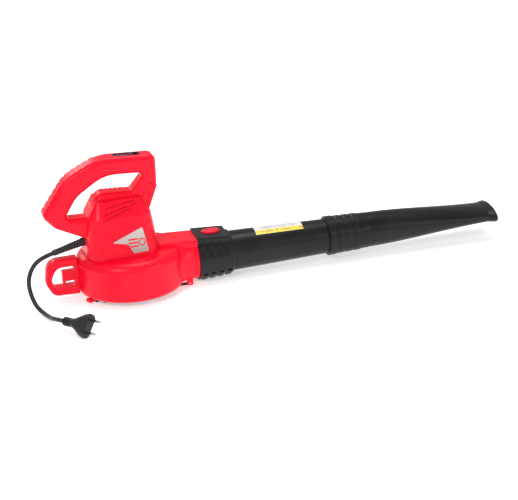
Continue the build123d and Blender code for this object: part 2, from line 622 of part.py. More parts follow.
def build_rotor():
    """Shaft, armature, windings, commutator, cooling fan and the spacer above the impeller."""
    save("motor_shaft", rod(SHAFT_R, (0, 0, SHAFT_LOW_Z), (0, 0, SHAFT_TOP_Z)))
    low, high = STATOR_Z
    core = pipe(ARMATURE_R, ARMATURE_R - SHAFT_R, (0, 0, low), (0, 0, high))
    for step in range(12):
        core -= Rot(0, 0, 30 * step) * box((ARMATURE_R - 7, -1.1, low), (ARMATURE_R + 1, 1.1, high))
    save("armature_core", core)
    ends = [pipe(ARMATURE_R - 3, ARMATURE_R - 3 - SHAFT_R, (0, 0, z), (0, 0, z + 4)) for z in (low - 4, high)]
    save("armature_windings", Compound(ends))
    z0, z1 = COMMUTATOR_Z
    drum = pipe(COMMUTATOR_R, COMMUTATOR_R - SHAFT_R, (0, 0, z0), (0, 0, z1))
    for step in range(24):
        drum -= Rot(0, 0, 15 * step) * box((COMMUTATOR_R - 1.2, -0.3, z0 + 1), (COMMUTATOR_R + 1, 0.3, z1 + 1))
    save("commutator", drum)
    z0, z1 = MOTOR_FAN_Z
    fan = pipe(MOTOR_FAN_R, MOTOR_FAN_R - SHAFT_R, (0, 0, z0), (0, 0, z0 + 1.2))
    fan += pipe(7, 7 - SHAFT_R, (0, 0, z0), (0, 0, z1))
    for step in range(12):
        fan += Rot(0, 0, 30 * step) * box((6, -0.7, z0), (MOTOR_FAN_R - 0.6, 0.7, z1 - 0.4))
    save("motor_cooling_fan", fan)
    top = DECK_Z + 1 - PIECE_GAP
    save("shaft_spacer", pipe(SHAFT_R + 2.4, 2.4, (0, 0, IMPELLER_PLATE_Z + IMPELLER_PLATE_T), (0, 0, top)))


def build_brushes():
    """Two brush holders with their carbon brushes, one on each side of the commutator."""
    middle = sum(COMMUTATOR_Z) / 2
    holders, brushes, springs = [], [], []
    for side in (-1, 1):
        y = sorted((side * 12.5, side * 27.0))
        block = box((-6, y[0], middle - 6), (6, y[1], middle + 6))
        channel = box((-3.2, y[0] - 1, middle - 4.2), (3.2, y[1] + 1, middle + 4.2))
        lid = sorted((side * 26.0, side * 27.0))
        holders.append(block - channel + box((-6, lid[0], middle - 6), (6, lid[1], middle + 6)))
        tip = sorted((side * (COMMUTATOR_R + 0.15), side * 19.0))
        brushes.append(box((-3, tip[0], middle - 4), (3, tip[1], middle + 4)))
        springs.append(rod(2.4, (0, side * 19.0, middle), (0, side * 26.0, middle)))
    save("brush_holders", Compound(holders))
    save("carbon_brushes", Compound(brushes))
    save("brush_springs", Compound(springs))


def build_impeller():
    """The impeller, the mulching blade below it, and the washer and nut that hold both."""
    top = IMPELLER_PLATE_Z + IMPELLER_PLATE_T
    wheel = rod(IMPELLER_R, (0, 0, IMPELLER_PLATE_Z), (0, 0, top))
    wheel += taper(IMPELLER_HUB_R, IMPELLER_HUB_R + 6, (0, 0, IMPELLER_LOW_Z - 3.5), (0, 0, IMPELLER_PLATE_Z))
    for step in range(IMPELLER_BLADES):
        blade = box((10, -1.3, IMPELLER_LOW_Z), (IMPELLER_R - 1, 1.3, top - 1))
        ramp = Pos(10, 0, IMPELLER_LOW_Z) * Rot(0, 25, 0) * Box(40, 6, 20, align=(Align.MIN, Align.CENTER, Align.MAX))
        wheel += Rot(0, 0, step * 360 / IMPELLER_BLADES) * (blade - Pos(0, 0, 4) * ramp)
    wheel -= rod(SHAFT_R, (0, 0, 0), (0, 0, 100))
    save("impeller", wheel)
    blade_top = IMPELLER_LOW_Z - 3.5
    arm = make_face(Polyline((0, -7), (BLADE_R - 13, -6), (BLADE_R, -1), (BLADE_R, 5), (0, 7), close=True))
    cutter = rod(10, (0, 0, blade_top - BLADE_T), (0, 0, blade_top))
    for turn in (0, 180):
        cutter += Rot(0, 0, turn) * Pos(0, 0, blade_top - BLADE_T) * extrude(arm, BLADE_T)
    save("mulching_blade", cutter - rod(SHAFT_R, (0, 0, 0), (0, 0, 100)))
    washer_low = blade_top - BLADE_T - WASHER_T
    save("blade_washer", pipe(8, 8 - SHAFT_R, (0, 0, washer_low), (0, 0, blade_top - BLADE_T)))
    nut = Pos(0, 0, washer_low - NUT_T) * extrude(RegularPolygon(7.5, 6), NUT_T)
    save("blade_nut", nut - rod(SHAFT_R, (0, 0, 0), (0, 0, 100)))


# ---------------------------------------------------------------- blow tube and nozzle

def tube_radius(x):
    """The blow tube's outer radius at a place along it."""
    share = (x - COLLAR_FRONT_X) / (TUBE_END_X - COLLAR_FRONT_X)
    return TUBE_REAR_R + (TUBE_FRONT_R - TUBE_REAR_R) * share


def collar_flat():
    """The block that gives the collar its flat top."""
    rear, front = DUCT_Z + COLLAR_REAR_R, DUCT_Z + COLLAR_FRONT_R
    points = [(COLLAR_REAR_X, DUCT_Z + 12, 0), (COLLAR_FRONT_X - 3, DUCT_Z + 12, 0),
              (COLLAR_FRONT_X - 3, front, 3), (COLLAR_REAR_X, rear, 0)]
    block = slab(points, COLLAR_HALF_FLAT)
    edges = [e for e in block.edges() if e.center().Z > DUCT_Z + 30 and abs(e.center().Y) > COLLAR_HALF_FLAT - 1]
    return fillet(edges, 2.6)


def collar_pads():
    """Raised finger pads around the collar."""
    pads = []
    for x in PAD_X:
        share = (x - COLLAR_REAR_X) / (COLLAR_FRONT_X - COLLAR_REAR_X)
        radius = COLLAR_REAR_R + (COLLAR_FRONT_R - COLLAR_REAR_R) * share
        profile = Pos(x, radius - 2) * RectangleRounded(8.0, 2 * (PAD_RISE + 2), 1.7)
        for angle in PAD_ANGLES:
            for side in (-1, 1):
                lift = angle if side > 0 else 180 - angle
                pad = revolve(Plane.XY * profile, axis=Axis.X, revolution_arc=40)
                pads.append(Pos(0, 0, DUCT_Z) * Rot(lift - 20, 0, 0) * pad)
    return pads


def button_outline(grow=0.0):
    """The release button's oval."""
    return Ellipse(BUTTON_L / 2 + grow, BUTTON_W / 2 + grow)


def build_blow_tube():
    """The rear tube with its collar, pads and the hole for the release button."""
    body = along_x([(COLLAR_REAR_X, 0), (COLLAR_REAR_X, COLLAR_REAR_R), (COLLAR_FRONT_X - 2, COLLAR_FRONT_R),
                    (COLLAR_FRONT_X, COLLAR_FRONT_R - 1.6), (COLLAR_FRONT_X, TUBE_REAR_R),
                    (TUBE_END_X, TUBE_FRONT_R), (TUBE_END_X, 0)])
    body += collar_flat()
    for pad in collar_pads():
        body += pad
    bore_r = SPIGOT_R + PIECE_GAP
    body -= along_x([(COLLAR_REAR_X - 1, 0), (COLLAR_REAR_X - 1, bore_r), (SPIGOT_END_X + 1, bore_r),
                     (SPIGOT_END_X + 6, TUBE_REAR_R - TUBE_WALL), (COLLAR_FRONT_X, TUBE_REAR_R - TUBE_WALL),
                     (TUBE_END_X + 1, TUBE_FRONT_R - TUBE_WALL), (TUBE_END_X + 1, 0)])
    body -= extrude(Pos(BUTTON_X, 0, DUCT_Z) * button_outline(PIECE_GAP + 0.1), 60)
    save("blow_tube_rear", body)


def build_label():
    """A thin printed sticker wrapped over the top of the tube."""
    x0, x1 = LABEL_X
    face = make_face(Polyline((x0, tube_radius(x0)), (x1, tube_radius(x1)), (x1, tube_radius(x1) + LABEL_T),
                              (x0, tube_radius(x0) + LABEL_T), close=True))
    sweep_angle = 2 * LABEL_HALF_ANGLE
    label = revolve(Plane.XY * face, axis=Axis.X, revolution_arc=sweep_angle)
    save("tube_label", Pos(0, 0, DUCT_Z) * Rot(90 - LABEL_HALF_ANGLE, 0, 0) * label)


def nozzle_body(inset=0.0):
    """The nozzle's flattened run and its flared lip."""
    ellipses = []
    for ahead, half_w, half_h in (*NOZZLE_SECTIONS, NOZZLE_LIP):
        plane = Plane(origin=(TUBE_END_X + ahead, 0, DUCT_Z), x_dir=(0, 1, 0), z_dir=(1, 0, 0))
        ellipses.append(plane * Ellipse(half_w - inset, half_h - inset))
    return loft(ellipses[:-1]) + loft(ellipses[-2:])


def build_nozzle():
    """The nozzle: a ringed sleeve over the tube's end, then the flattened run."""
    x0, x1 = NOZZLE_REAR_X, NOZZLE_SLEEVE_END_X
    neck_r = NOZZLE_SECTIONS[0][1]
    sleeve = along_x([(x0, 0), (x0, NOZZLE_SLEEVE_REAR_R), (x1, NOZZLE_SLEEVE_FRONT_R), (x1, 0)])
    slope = (NOZZLE_SLEEVE_FRONT_R - NOZZLE_SLEEVE_REAR_R) / (x1 - x0)
    for ahead, half, rise in NOZZLE_RINGS:
        low, high = x0 + ahead - half, x0 + ahead + half
        low_r, high_r = NOZZLE_SLEEVE_REAR_R + slope * (low - x0), NOZZLE_SLEEVE_REAR_R + slope * (high - x0)
        sleeve += along_x([(low, 0), (low, low_r - 0.3), (low + 1.2, low_r + rise), (high - 1.2, high_r + rise),
                           (high, high_r - 0.3), (high, 0)])
    gap = PIECE_GAP
    bore = along_x([(x0 - 1, 0), (x0 - 1, tube_radius(x0 - 1) + gap), (TUBE_END_X, TUBE_FRONT_R + gap),
                    (TUBE_END_X + 1, TUBE_FRONT_R + gap), (x1, neck_r - NOZZLE_WALL), (x1, 0)])
    nozzle = (sleeve + nozzle_body()) - (bore + nozzle_body(NOZZLE_WALL))
    save("nozzle_tube", nozzle)


def build_lock():
    """The tongue and its button, reaching up through the collar."""
    tongue = box((TONGUE_ROOT_X, -TONGUE_HALF_W, TONGUE_TOP_Z - TONGUE_T), (TONGUE_END_X, TONGUE_HALF_W, TONGUE_TOP_Z))
    share = (BUTTON_X - COLLAR_REAR_X) / (COLLAR_FRONT_X - COLLAR_REAR_X)
    collar_top = DUCT_Z + COLLAR_REAR_R + (COLLAR_FRONT_R - COLLAR_REAR_R) * share
    height = collar_top + BUTTON_RISE - TONGUE_TOP_Z
    button = extrude(Pos(BUTTON_X, 0, TONGUE_TOP_Z) * button_outline(), height)
    button = fillet(button.edges().sort_by(Axis.Z)[-1], 1.8)
    save("lock_button", tongue + button)


# ---------------------------------------------------------------- mains lead

def corner_radii(points):
    """The arc that fits at each corner of a route, printed in cord diameters."""
    radii = []
    for before, corner, after in zip(points, points[1:], points[2:]):
        run_in, run_out = Vector(*corner) - Vector(*before), Vector(*after) - Vector(*corner)
        turn = run_in.get_angle(run_out)
        radius = 0.45 * min(run_in.length, run_out.length) / tan(radians(turn / 2))
        radii.append(radius)
        print(f"cord corner turns {turn:.1f} deg, radius {radius:.1f} mm, {radius / (2 * CORD_R):.1f} diameters")
    return radii


def build_cord():
    """The lead along its route, compared with its section times its length."""
    path = FilletPolyline(*CORD_ROUTE, radius=corner_radii(CORD_ROUTE))
    start = Plane(origin=path @ 0, z_dir=path % 0)
    cord = sweep(start * Circle(CORD_R), path=path)
    expected = pi * CORD_R ** 2 * path.length
    print(f"cord length {path.length:.1f} mm, volume share {cord.volume / expected:.4f}")
    save("mains_cord", cord)


def build_relief():
    """The tapered bend relief with its flange inside the housing."""
    root, out = relief_frame()
    tip = root + out * RELIEF_L
    relief = taper(RELIEF_ROOT_R, RELIEF_TIP_R, tuple(root), tuple(tip))
    relief += rod(RELIEF_ROOT_R, tuple(root - out * RELIEF_INSIDE), tuple(root))
    relief += rod(RELIEF_FLANGE_R, tuple(root - out * RELIEF_INSIDE), tuple(root - out * (RELIEF_INSIDE - 2.4)))
    save("bend_relief", relief)


def build_clamp():
    """The cord clamp inside the housing and its two screws."""
    low, high = DECK_Z + 17, DECK_Z + 29
    x0, x1 = CLAMP_X
    clamp = box((x0, -9, low), (x1, 9, high)) - box((x0 - 1, -6.4, low + 3), (x1 + 1, 6.4, high - 2.6))
    save("cord_clamp", clamp)
    middle = (x0 + x1) / 2
    save("clamp_screws", Compound([rod(1.4, (middle, s * 4.6, low + 3), (middle, s * 4.6, high - 2.6))
                                   for s in (-1, 1)]))


def plug_frame():
    """The plug's frame: z along its pins, x across its width, leaning off the vertical."""
    end, before = Vector(*CORD_ROUTE[-1]), Vector(*CORD_ROUTE[-2])
    ahead = (end - before).normalized()
    side = Vector(ahead.Y, -ahead.X, 0).normalized()
    lean = radians(PLUG_LEAN)
    down = Vector(0, 0, -1)
    width = down * cos(lean) + side * sin(lean)
    width = (width - ahead * width.dot(ahead)).normalized()
    return Plane(origin=end, x_dir=width, z_dir=ahead)


def build_plug():
    """The flat two-pin plug: ribbed grip, body and half-sleeved pins."""
    frame = plug_frame()
    faces = [Pos(0, 0, z) * RectangleRounded(w, t, r) for z, w, t, r in PLUG_SECTIONS]
    body = loft(faces)
    for z in PLUG_RIBS:
        body += Pos(0, 0, z) * Cylinder(6.5, 1.5)
    end = PLUG_SECTIONS[-1][0]
    for x in (-PIN_PITCH / 2, PIN_PITCH / 2):
        body += rod(PIN_R, (x, 0, end - 1), (x, 0, end + PIN_SLEEVE_L))
    save("plug_body", frame * body)
    pins = []
    for s in (-1, 1):
        pin = rod(PIN_R, (s * PIN_PITCH / 2, 0, end + PIN_SLEEVE_L), (s * PIN_PITCH / 2, 0, end + PIN_L))
        pins.append(fillet(pin.edges().sort_by(Axis.Z)[-1], 1.2))
    save("plug_pins", frame * Compound(pins))


def build_capacitor():
    """The suppression capacitor in the handle's rear."""
    save("suppression_capacitor", box((-76, -7, DECK_Z + 43.5), (-62, 7, DECK_Z + 54)))


def main():
    """Build and write every piece."""
    os.makedirs("parts", exist_ok=True)
    build_housing()
    build_badge()
    build_switch()
    build_casing()
    build_spigot()
    build_cover()
    build_guard()
    build_motor_frame()
    build_stator()
    build_rotor()
    build_brushes()
    build_impeller()
    build_blow_tube()
    build_label()
    build_nozzle()
    build_lock()
    build_cord()
    build_relief()
    build_clamp()
    build_plug()
    build_capacitor()


main()
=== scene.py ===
import logging
import math
from dataclasses import dataclass, field
from enum import Enum
from typing import Iterable, Optional, Sequence

import bpy
from mathutils import Matrix, Vector


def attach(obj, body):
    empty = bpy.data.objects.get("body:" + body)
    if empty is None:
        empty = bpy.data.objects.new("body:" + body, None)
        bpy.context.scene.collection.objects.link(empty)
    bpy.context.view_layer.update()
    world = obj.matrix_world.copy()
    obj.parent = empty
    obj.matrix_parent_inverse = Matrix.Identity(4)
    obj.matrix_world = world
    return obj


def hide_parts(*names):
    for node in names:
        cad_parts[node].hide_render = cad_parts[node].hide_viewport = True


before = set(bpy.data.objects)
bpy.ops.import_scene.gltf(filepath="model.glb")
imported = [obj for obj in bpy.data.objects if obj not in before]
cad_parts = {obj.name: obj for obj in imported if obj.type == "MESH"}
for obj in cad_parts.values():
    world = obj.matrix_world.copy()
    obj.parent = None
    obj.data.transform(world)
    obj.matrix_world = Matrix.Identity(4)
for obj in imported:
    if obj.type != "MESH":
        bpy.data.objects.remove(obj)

log = logging.getLogger("leaf_blower")

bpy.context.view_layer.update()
MM = 0.001
NOISE_LOW, NOISE_HIGH = 0.3, 0.7     # most of a noise pattern's values lie between these
MERGE_DISTANCE = 0.00001
SMOOTH_ANGLE = math.radians(40)
Colour = tuple[float, float, float]
Point = tuple[float, float, float]


# ---------------------------------------------------------------- node sketching

class NodeSketch:
    """A material's node tree, built one node at a time."""

    def __init__(self, name: str) -> None:
        """Starts a material with its shader and output.

        Args:
            name: the material's name.
        """
        self.material = bpy.data.materials.new(f"finish_{name}")
        self.material.use_nodes = True
        self.tree = self.material.node_tree
        self.tree.nodes.clear()
        self.output = self.tree.nodes.new("ShaderNodeOutputMaterial")
        self.shader = self.tree.nodes.new("ShaderNodeBsdfPrincipled")
        self.join(self.shader.outputs["BSDF"], self.output.inputs["Surface"])

    def join(self, source: bpy.types.NodeSocket, target: bpy.types.NodeSocket) -> None:
        """Links one socket to another."""
        self.tree.links.new(source, target)

    def feed(self, node: bpy.types.Node, slot: str | int, value: object) -> None:
        """Puts a link or a constant on an input.

        Args:
            node: the node that takes it.
            slot: the input's name or number.
            value: an output socket, a number or a tuple.
        """
        if isinstance(value, bpy.types.NodeSocket):
            self.join(value, node.inputs[slot])
        else:
            node.inputs[slot].default_value = value

    def place(self, scale: Point = (1, 1, 1), turn: Point = (0, 0, 0)) -> bpy.types.NodeSocket:
        """Object coordinates through a Mapping node.

        Args:
            scale: stretch along each axis.
            turn: rotation in radians.

        Returns:
            The mapped vector.
        """
        coords = self.tree.nodes.new("ShaderNodeTexCoord")
        mapping = self.tree.nodes.new("ShaderNodeMapping")
        mapping.inputs["Scale"].default_value = scale
        mapping.inputs["Rotation"].default_value = turn
        self.join(coords.outputs["Object"], mapping.inputs["Vector"])
        return mapping.outputs["Vector"]

    def noise(self, scale: float, detail: float = 3.0, vector: Optional[bpy.types.NodeSocket] = None,
              rough: float = 0.55) -> bpy.types.NodeSocket:
        """A noise pattern, from 0 to 1."""
        node = self.tree.nodes.new("ShaderNodeTexNoise")
        node.inputs["Scale"].default_value = scale
        node.inputs["Detail"].default_value = detail
        node.inputs["Roughness"].default_value = rough
        self.join(vector or self.place(), node.inputs["Vector"])
        return node.outputs["Fac"]

    def wave(self, scale: float, axis: str, distortion: float = 0.0) -> bpy.types.NodeSocket:
        """A banded wave along one axis, from 0 to 1."""
        node = self.tree.nodes.new("ShaderNodeTexWave")
        node.bands_direction = axis
        node.inputs["Scale"].default_value = scale
        node.inputs["Distortion"].default_value = distortion
        self.join(self.place(), node.inputs["Vector"])
        return node.outputs["Fac"]

    def math(self, operation: str, a: object, b: object = 0.0, clamp: bool = False) -> bpy.types.NodeSocket:
        """One arithmetic step."""
        node = self.tree.nodes.new("ShaderNodeMath")
        node.operation = operation
        node.use_clamp = clamp
        self.feed(node, 0, a)
        self.feed(node, 1, b)
        return node.outputs[0]

    def between(self, value: bpy.types.NodeSocket, low: float, high: float) -> bpy.types.NodeSocket:
        """1 where a value lies between two limits, else 0."""
        above = self.math("GREATER_THAN", value, low)
        return self.math("MULTIPLY", above, self.math("LESS_THAN", value, high))

    def spread(self, value: bpy.types.NodeSocket, low: float, high: float) -> bpy.types.NodeSocket:
        """Stretches the part of a pattern where most of its values lie over a range."""
        node = self.tree.nodes.new("ShaderNodeMapRange")
        node.inputs["From Min"].default_value = NOISE_LOW
        node.inputs["From Max"].default_value = NOISE_HIGH
        node.inputs["To Min"].default_value = low
        node.inputs["To Max"].default_value = high
        self.join(value, node.inputs["Value"])
        return node.outputs["Result"]

    def mix(self, factor: object, first: object, second: object) -> bpy.types.NodeSocket:
        """Two colours mixed by a factor."""
        node = self.tree.nodes.new("ShaderNodeMix")
        node.data_type = "RGBA"
        self.feed(node, "Factor", factor)
        for slot, value in ((6, first), (7, second)):
            self.feed(node, slot, value if isinstance(value, bpy.types.NodeSocket) else (*value, 1.0))
        return node.outputs[2]

    def bump(self, height: bpy.types.NodeSocket, depth: float, strength: float = 1.0,
             normal: Optional[bpy.types.NodeSocket] = None) -> bpy.types.NodeSocket:
        """A bumped normal.

        Args:
            height: the pattern, from 0 to 1.
            depth: its height in metres.
            strength: how much of it shows.
            normal: a normal to add to.

        Returns:
            The new normal.
        """
        node = self.tree.nodes.new("ShaderNodeBump")
        node.inputs["Distance"].default_value = depth
        node.inputs["Strength"].default_value = strength
        self.join(height, node.inputs["Height"])
        if normal:
            self.join(normal, node.inputs["Normal"])
        return node.outputs["Normal"]

    def soft_edges(self, radius: float) -> bpy.types.NodeSocket:
        """A normal that rounds hard edges by a small radius."""
        node = self.tree.nodes.new("ShaderNodeBevel")
        node.samples = 4
        node.inputs["Radius"].default_value = radius
        return node.outputs["Normal"]


# ---------------------------------------------------------------- finishes

@dataclass(frozen=True)
class MouldedPlastic:
    """Moulded plastic: an even tint with slight flow marks, a fine skin and softened edges."""

    name: str
    colour: Colour
    roughness: float = 0.35
    tint: float = 0.10
    grain: float = 1400.0
    grain_depth: float = 0.00004
    edge: float = 0.0006
    shine: float = 0.25

    def material(self) -> bpy.types.Material:
        """Builds the material.

        Returns:
            The new material.
        """
        sketch = NodeSketch(self.name)
        flow = sketch.noise(14.0, 4.0)
        fine = sketch.noise(self.grain, 2.0)
        deep = tuple(c * (1 - self.tint) for c in self.colour)
        light = tuple(min(1.0, c * (1 + self.tint) + 0.004) for c in self.colour)
        sketch.feed(sketch.shader, "Base Color", sketch.mix(sketch.spread(flow, 0, 1), deep, light))
        rough = sketch.math("ADD", sketch.spread(flow, self.roughness - 0.04, self.roughness + 0.04),
                            sketch.spread(fine, -0.03, 0.03))
        sketch.feed(sketch.shader, "Roughness", rough)
        sketch.shader.inputs["Specular IOR Level"].default_value = self.shine
        normal = sketch.bump(fine, self.grain_depth, 0.5, sketch.soft_edges(self.edge))
        sketch.feed(sketch.shader, "Normal", normal)
        return sketch.material


@dataclass(frozen=True)
class Metal:
    """Turned, drawn or cast metal, with its lay as stretched noise."""

    name: str
    colour: Colour
    roughness: float = 0.32
    lay: Point = (60.0, 60.0, 1500.0)
    depth: float = 0.00003
    edge: float = 0.0002

    def material(self) -> bpy.types.Material:
        """Builds the material.

        Returns:
            The new material.
        """
        sketch = NodeSketch(self.name)
        lay = sketch.noise(1.0, 3.0, sketch.place(self.lay))
        dull = tuple(c * 0.78 for c in self.colour)
        sketch.feed(sketch.shader, "Base Color", sketch.mix(lay, dull, self.colour))
        rough = sketch.spread(lay, self.roughness - 0.08, self.roughness + 0.1)
        sketch.feed(sketch.shader, "Roughness", rough)
        sketch.shader.inputs["Metallic"].default_value = 1.0
        normal = sketch.bump(lay, self.depth, 0.4, sketch.soft_edges(self.edge))
        sketch.feed(sketch.shader, "Normal", normal)
        return sketch.material


@dataclass(frozen=True)
class Banded:
    """Stacked sheets or wound wire: fine bands along one axis."""

    name: str
    colour: Colour
    groove: Colour
    axis: str = "Z"
    pitch: float = 0.0008
    metallic: float = 0.8
    roughness: float = 0.45

    def material(self) -> bpy.types.Material:
        """Builds the material.

        Returns:
            The new material.
        """
        sketch = NodeSketch(self.name)
        bands = sketch.wave(math.pi / (10.0 * self.pitch), self.axis)
        patch = sketch.noise(160.0)
        tint = sketch.mix(sketch.spread(patch, 0, 0.35), self.colour, self.groove)
        sketch.feed(sketch.shader, "Base Color", sketch.mix(bands, self.groove, tint))
        rough = sketch.spread(patch, self.roughness - 0.08, self.roughness + 0.08)
        sketch.feed(sketch.shader, "Roughness", rough)
        sketch.shader.inputs["Metallic"].default_value = self.metallic
        sketch.feed(sketch.shader, "Normal", sketch.bump(bands, self.pitch * 0.4, 0.8))
        return sketch.material


@dataclass(frozen=True)
class Rubber:
    """Soft rubber or lead covering: dark, dull and faintly mottled."""

    name: str
    colour: Colour = (0.018, 0.018, 0.019)
    roughness: float = 0.55
    mottle_depth: float = 0.00006
    edge: float = 0.0005

    def material(self) -> bpy.types.Material:
        """Builds the material.

        Returns:
            The new material.
        """
        sketch = NodeSketch(self.name)
        mottle = sketch.noise(260.0, 4.0)
        bloom = tuple(c * 1.7 + 0.004 for c in self.colour)
        tint = sketch.mix(sketch.spread(mottle, 0, 1), self.colour, bloom)
        sketch.feed(sketch.shader, "Base Color", tint)
        rough = sketch.spread(mottle, self.roughness - 0.06, self.roughness + 0.08)
        sketch.feed(sketch.shader, "Roughness", rough)
        sketch.shader.inputs["Specular IOR Level"].default_value = 0.3
        normal = sketch.bump(mottle, self.mottle_depth, 0.5, sketch.soft_edges(self.edge))
        sketch.feed(sketch.shader, "Normal", normal)
        return sketch.material


@dataclass(frozen=True)
class PrintedLabel:
    """White film with a yellow stripe along its lower edge and plain grey bars in place of words."""

    name: str
    axis_height: float
    span: tuple[float, float]
    half_angle: float
    stripe_angle: float = math.radians(17.0)
    row_angle: float = math.radians(4.6)
    paper: tuple[Colour, Colour] = ((0.80, 0.80, 0.78), (0.87, 0.87, 0.86))
    yellow: Colour = (0.86, 0.66, 0.02)
    grey_ink: Colour = (0.10, 0.10, 0.11)
    black_ink: Colour = (0.05, 0.05, 0.05)

    def material(self) -> bpy.types.Material:
        """Builds the material.

        Returns:
            The new material.
        """
        sketch = NodeSketch(self.name)
        axes = sketch.tree.nodes.new("ShaderNodeSeparateXYZ")
        sketch.join(sketch.place(), axes.inputs[0])
        along, across, height = axes.outputs
        angle = sketch.math("ARCTAN2", across, sketch.math("SUBTRACT", height, self.axis_height))
        start, end = self.span
        edge = -math.radians(self.half_angle)
        stripe = sketch.between(angle, edge, edge + self.stripe_angle)
        rows = sketch.math("FRACT", sketch.math("MULTIPLY", angle, 1 / self.row_angle))
        lines = sketch.between(rows, 0.28, 0.62)
        field_area = sketch.math("MULTIPLY", sketch.between(angle, edge + math.radians(21), -edge - 0.1),
                                 sketch.between(along, start + 0.012, end - 0.008))
        words = sketch.noise(1.0, 1.0, sketch.place((240.0, 400.0, 40.0)))
        bars = sketch.math("MULTIPLY", sketch.math("MULTIPLY", lines, field_area),
                           sketch.math("GREATER_THAN", words, 0.44))
        stripe_row = sketch.between(angle, edge + math.radians(6), edge + math.radians(10))
        stripe_words = sketch.math("GREATER_THAN", words, 0.47)
        stripe_bars = sketch.math("MULTIPLY", stripe_row, stripe_words)
        film = sketch.mix(sketch.noise(500.0), *self.paper)
        tinted = sketch.mix(stripe, film, self.yellow)
        inked = sketch.mix(sketch.math("MULTIPLY", bars, 0.75), tinted, self.grey_ink)
        marked = sketch.mix(sketch.math("MULTIPLY", sketch.math("MULTIPLY", stripe_bars, stripe), 0.8),
                            inked, self.black_ink)
        sketch.feed(sketch.shader, "Base Color", marked)
        sketch.shader.inputs["Roughness"].default_value = 0.32
        sketch.shader.inputs["Coat Weight"].default_value = 0.3
        sketch.feed(sketch.shader, "Normal", sketch.bump(sketch.noise(900.0), 0.00002, 0.4))
        return sketch.material


@dataclass(frozen=True)
class BrushedPlate:
    """The badge's satin grey plate, lighter towards its top: a painted highlight of the light falling on
    the plate.
    """

    name: str
    # low is the plate's painted shaded colour at its foot, high its painted lit colour at its top
    low: Colour = (0.36, 0.32, 0.28)
    high: Colour = (0.62, 0.57, 0.53)
    # fade_from and fade_rate: the height where the painted highlight starts, and how fast it grows
    fade_from: float = 0.072
    fade_rate: float = 26.0

    def material(self) -> bpy.types.Material:
        """Builds the material.

        Returns:
            The new material.
        """
        sketch = NodeSketch(self.name)
        axes = sketch.tree.nodes.new("ShaderNodeSeparateXYZ")
        sketch.join(sketch.place(), axes.inputs[0])
        above = sketch.math("SUBTRACT", axes.outputs["Z"], self.fade_from)
        rise = sketch.math("MULTIPLY", above, self.fade_rate, True)
        brush = sketch.noise(1.0, 3.0, sketch.place((40.0, 40.0, 2200.0)))
        # Painted highlight: the plate turns from its shaded low colour to its lit high colour with height
        fade = sketch.mix(rise, self.low, self.high)
        # Brush streaks, lighter towards the lit high colour, laid over the painted highlight
        sheen_and_brush = sketch.mix(sketch.spread(brush, 0, 0.3), fade, self.high)
        sketch.feed(sketch.shader, "Base Color", sheen_and_brush)
        sketch.shader.inputs["Metallic"].default_value = 0.15
        sketch.feed(sketch.shader, "Roughness", sketch.spread(brush, 0.32, 0.5))
        sketch.feed(sketch.shader, "Normal", sketch.bump(brush, 0.00002, 0.5))
        return sketch.material


class Finish(Enum):
    """Every finish on the machine."""

    RED_SHELL = MouldedPlastic("red_shell", (0.88, 0.0, 0.024), 0.33, 0.04, shine=0.2)
    RED_BUTTON = MouldedPlastic("red_button", (0.88, 0.003, 0.027), 0.26, 0.04, shine=0.3)
    BLACK_TUBE = MouldedPlastic("black_tube", (0.007, 0.007, 0.0082), 0.34, 0.12, grain_depth=0.00005,
                                shine=0.26)
    DARK_PART = MouldedPlastic("dark_part", (0.022, 0.022, 0.025), 0.5, 0.12, grain_depth=0.00008)
    GREY_SLIDER = MouldedPlastic("grey_slider", (0.075, 0.06, 0.085), 0.42, 0.08, edge=0.0003)
    CAPACITOR = MouldedPlastic("capacitor", (0.72, 0.45, 0.05), 0.3, 0.06, shine=0.5)
    CARBON = MouldedPlastic("carbon", (0.02, 0.02, 0.021), 0.6, 0.2, grain_depth=0.0001)
    BADGE = BrushedPlate("badge_plate")
    STEEL = Metal("steel", (0.60, 0.60, 0.61), 0.28)
    ZINC = Metal("zinc_screw", (0.66, 0.66, 0.68), 0.36, (300.0, 300.0, 300.0))
    ALLOY = Metal("cast_alloy", (0.72, 0.72, 0.73), 0.45, (420.0, 420.0, 420.0), 0.00008)
    BRASS = Metal("brass", (0.80, 0.62, 0.30), 0.26)
    PIN_METAL = Metal("pin_metal", (0.74, 0.70, 0.62), 0.22)
    COMMUTATOR = Metal("commutator_bars", (0.82, 0.45, 0.28), 0.25)
    LAMINATION = Banded("lamination", (0.32, 0.32, 0.34), (0.10, 0.10, 0.11))
    WINDING = Banded("winding", (0.62, 0.26, 0.10), (0.16, 0.05, 0.02), pitch=0.0006)
    SPRING = Banded("spring", (0.62, 0.62, 0.63), (0.12, 0.12, 0.12), "Y", 0.0007)
    RUBBER = Rubber("rubber")
    LEAD = Rubber("lead_cover", (0.014, 0.014, 0.015), 0.42)

    def material(self) -> bpy.types.Material:
        """The finish's material, made once."""
        known = bpy.data.materials.get(f"finish_{self.value.name}")
        return known if known else self.value.material()


def dress(piece: bpy.types.Object, material: bpy.types.Material) -> None:
    """Gives every face of a piece one material."""
    if not piece.material_slots:
        piece.data.materials.append(material)
    for slot in piece.material_slots:
        slot.material = material


def dress_nodes(names: Iterable[str], finish: Finish) -> None:
    """Dresses several of the frame's nodes alike."""
    for name in names:
        dress(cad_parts[name], finish.material())
        log.info("dressed %s in %s", name, finish.value.name)


# ---------------------------------------------------------------- modelling by hand

def deselect() -> None:
    """Leaves edit mode and selects nothing."""
    if bpy.context.mode != "OBJECT":
        bpy.ops.object.mode_set(mode="OBJECT")
    bpy.ops.object.select_all(action="DESELECT")


def settle(piece: bpy.types.Object) -> bpy.types.Object:
    """Applies a piece's place, turn and size, so that it sits at the origin.

    Args:
        piece: the piece.

    Returns:
        The same piece.
    """
    deselect()
    piece.select_set(True)
    bpy.context.view_layer.objects.active = piece
    bpy.ops.object.transform_apply(location=True, rotation=True, scale=True)
    return piece


